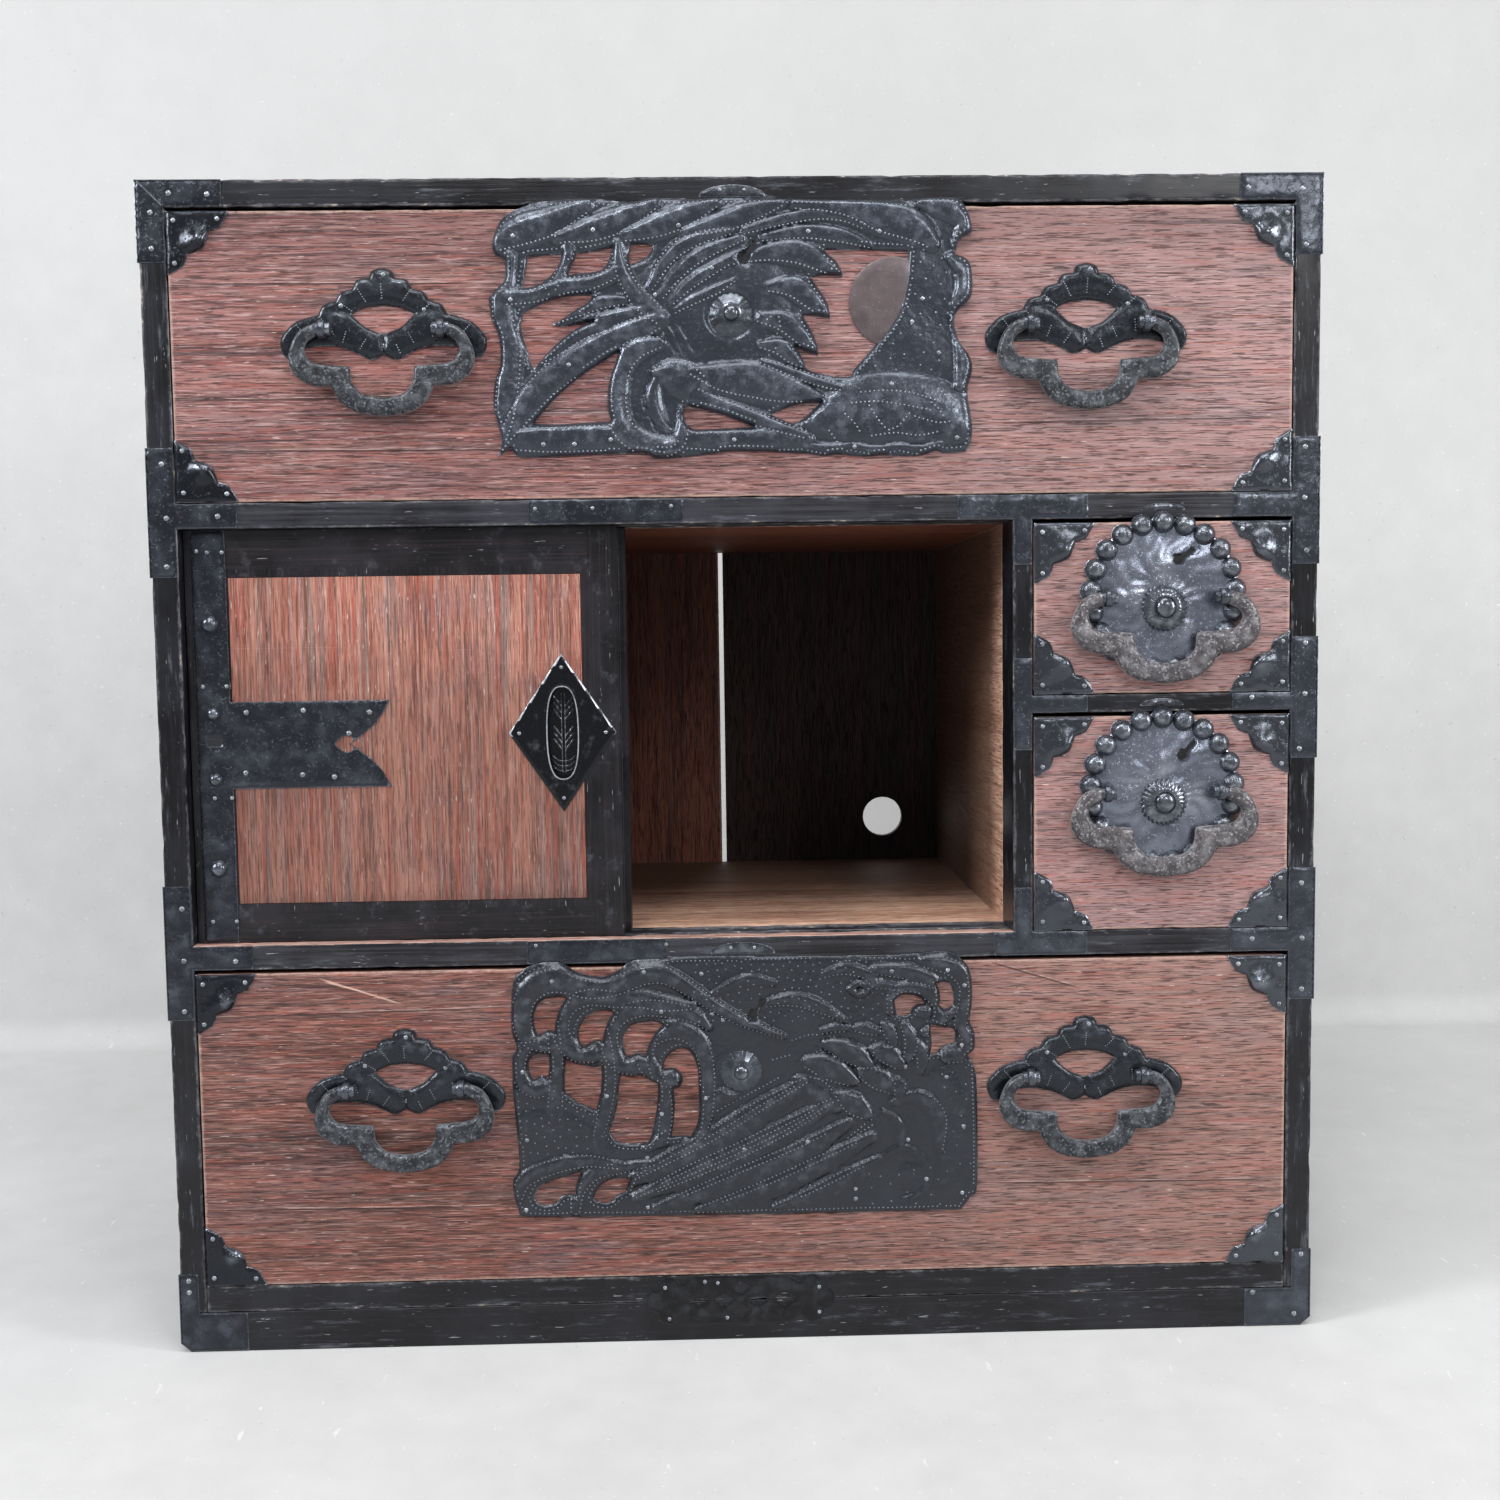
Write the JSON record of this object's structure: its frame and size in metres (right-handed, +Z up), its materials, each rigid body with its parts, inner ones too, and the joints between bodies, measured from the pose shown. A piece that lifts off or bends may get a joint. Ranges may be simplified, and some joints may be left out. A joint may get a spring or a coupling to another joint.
{
  "type": "ship chest",
  "caption": "Iron-bound wooden ship chest with long drawers, small drawers, sliding doors over a compartment, pierced lock plates and swinging bail handles.",
  "frame": {"origin": "bottom centre of the whole chest's bounding box, on the floor", "axes": "+X to the right seen from the front, +Y to the back, +Z up; the drawers open towards -Y"},
  "size_m": [0.8824, 0.4316, 0.888],
  "materials": {
    "black_lacquer": "worn lacquer",
    "drawer_wood": "open grain, stained",
    "door_wood": "open grain, stained",
    "inner_wood": "bare",
    "back_wood": "bare, darkened",
    "wrought_iron": "hammered, blackened",
    "cast_iron": "rough"
  },
  "bodies": {
    "carcass": {"left_side": "black_lacquer", "right_side": "black_lacquer", "top_board": "black_lacquer", "bottom_board": "black_lacquer", "back_board_left": "back_wood", "back_board_right": "back_wood", "upper_rail": "black_lacquer", "upper_shelf": "inner_wood", "lower_rail": "black_lacquer", "lower_shelf": "inner_wood", "partition": "black_lacquer", "small_shelf": "black_lacquer", "base_frame": "black_lacquer", "strap_top_left": "wrought_iron", "strap_top_right": "wrought_iron", "strap_upper_left": "wrought_iron", "strap_upper_right": "wrought_iron", "strap_lower_left": "wrought_iron", "strap_lower_right": "wrought_iron", "strap_base_left": "wrought_iron", "strap_base_right": "wrought_iron", "strap_small_right": "wrought_iron", "strap_centre_top": "wrought_iron", "strap_centre_mid": "wrought_iron", "strap_centre_base": "wrought_iron", "base_ornament": "wrought_iron"},
    "outer_door": {"outer_door_frame": "black_lacquer", "outer_door_panel": "door_wood", "outer_door_strap": "wrought_iron", "outer_door_pull": "wrought_iron"},
    "inner_door": {"inner_door_frame": "black_lacquer", "inner_door_panel": "door_wood", "inner_door_strap": "wrought_iron", "inner_door_pull": "wrought_iron"},
    "upper_drawer": {"upper_drawer_front": "drawer_wood", "upper_drawer_box": "inner_wood", "upper_drawer_lock_plate": "wrought_iron", "upper_drawer_handle_plate_left": "wrought_iron", "upper_drawer_handle_plate_right": "wrought_iron"},
    "upper_drawer_lock_button": {"upper_drawer_lock_button": "wrought_iron"},
    "upper_drawer_bail_left": {"upper_drawer_bail_left": "cast_iron"},
    "upper_drawer_bail_right": {"upper_drawer_bail_right": "cast_iron"},
    "lower_drawer": {"lower_drawer_front": "drawer_wood", "lower_drawer_box": "inner_wood", "lower_drawer_lock_plate": "wrought_iron", "lower_drawer_handle_plate_left": "wrought_iron", "lower_drawer_handle_plate_right": "wrought_iron"},
    "lower_drawer_lock_button": {"lower_drawer_lock_button": "wrought_iron"},
    "lower_drawer_bail_left": {"lower_drawer_bail_left": "cast_iron"},
    "lower_drawer_bail_right": {"lower_drawer_bail_right": "cast_iron"},
    "small_upper_drawer": {"small_upper_drawer_front": "drawer_wood", "small_upper_drawer_box": "inner_wood", "small_upper_drawer_lock_plate": "wrought_iron"},
    "small_upper_drawer_lock_button": {"small_upper_drawer_lock_button": "wrought_iron"},
    "small_upper_drawer_bail": {"small_upper_drawer_bail": "cast_iron"},
    "small_lower_drawer": {"small_lower_drawer_front": "drawer_wood", "small_lower_drawer_box": "inner_wood", "small_lower_drawer_lock_plate": "wrought_iron"},
    "small_lower_drawer_lock_button": {"small_lower_drawer_lock_button": "wrought_iron"},
    "small_lower_drawer_bail": {"small_lower_drawer_bail": "cast_iron"}
  },
  "joints": [
    {"name": "outer_door_slide", "type": "slide", "parent": "carcass", "child": "outer_door", "axis": [1, 0, 0], "range_m": [0, 0.299]},
    {"name": "inner_door_slide", "type": "slide", "parent": "carcass", "child": "inner_door", "axis": [1, 0, 0], "range_m": [-0.005, 0.294]},
    {"name": "upper_drawer_slide", "type": "slide", "parent": "carcass", "child": "upper_drawer", "axis": [0, -1, 0], "range_m": [0, 0.34]},
    {"name": "upper_drawer_lock_button_push", "type": "slide", "parent": "upper_drawer", "child": "upper_drawer_lock_button", "axis": [0, 1, 0], "range_m": [0, 0.004]},
    {"name": "upper_drawer_bail_left_hinge", "type": "hinge", "parent": "upper_drawer", "child": "upper_drawer_bail_left", "pos_m": [-0.262, -0.2086, 0.777], "axis": [-1, 0, 0], "range_deg": [0, 170]},
    {"name": "upper_drawer_bail_right_hinge", "type": "hinge", "parent": "upper_drawer", "child": "upper_drawer_bail_right", "pos_m": [0.262, -0.2086, 0.777], "axis": [-1, 0, 0], "range_deg": [0, 170]},
    {"name": "lower_drawer_slide", "type": "slide", "parent": "carcass", "child": "lower_drawer", "axis": [0, -1, 0], "range_m": [0, 0.34]},
    {"name": "lower_drawer_lock_button_push", "type": "slide", "parent": "lower_drawer", "child": "lower_drawer_lock_button", "axis": [0, 1, 0], "range_m": [0, 0.004]},
    {"name": "lower_drawer_bail_left_hinge", "type": "hinge", "parent": "lower_drawer", "child": "lower_drawer_bail_left", "pos_m": [-0.262, -0.2086, 0.206], "axis": [-1, 0, 0], "range_deg": [0, 170]},
    {"name": "lower_drawer_bail_right_hinge", "type": "hinge", "parent": "lower_drawer", "child": "lower_drawer_bail_right", "pos_m": [0.262, -0.2086, 0.206], "axis": [-1, 0, 0], "range_deg": [0, 170]},
    {"name": "small_upper_drawer_slide", "type": "slide", "parent": "carcass", "child": "small_upper_drawer", "axis": [0, -1, 0], "range_m": [0, 0.34]},
    {"name": "small_upper_drawer_lock_button_push", "type": "slide", "parent": "small_upper_drawer", "child": "small_upper_drawer_lock_button", "axis": [0, 1, 0], "range_m": [0, 0.004]},
    {"name": "small_upper_drawer_bail_hinge", "type": "hinge", "parent": "small_upper_drawer", "child": "small_upper_drawer_bail", "pos_m": [0.321, -0.2086, 0.5725], "axis": [-1, 0, 0], "range_deg": [0, 170]},
    {"name": "small_lower_drawer_slide", "type": "slide", "parent": "carcass", "child": "small_lower_drawer", "axis": [0, -1, 0], "range_m": [0, 0.34]},
    {"name": "small_lower_drawer_lock_button_push", "type": "slide", "parent": "small_lower_drawer", "child": "small_lower_drawer_lock_button", "axis": [0, 1, 0], "range_m": [0, 0.004]},
    {"name": "small_lower_drawer_bail_hinge", "type": "hinge", "parent": "small_lower_drawer", "child": "small_lower_drawer_bail", "pos_m": [0.321, -0.2086, 0.4245], "axis": [-1, 0, 0], "range_deg": [0, 170]}
  ]
}
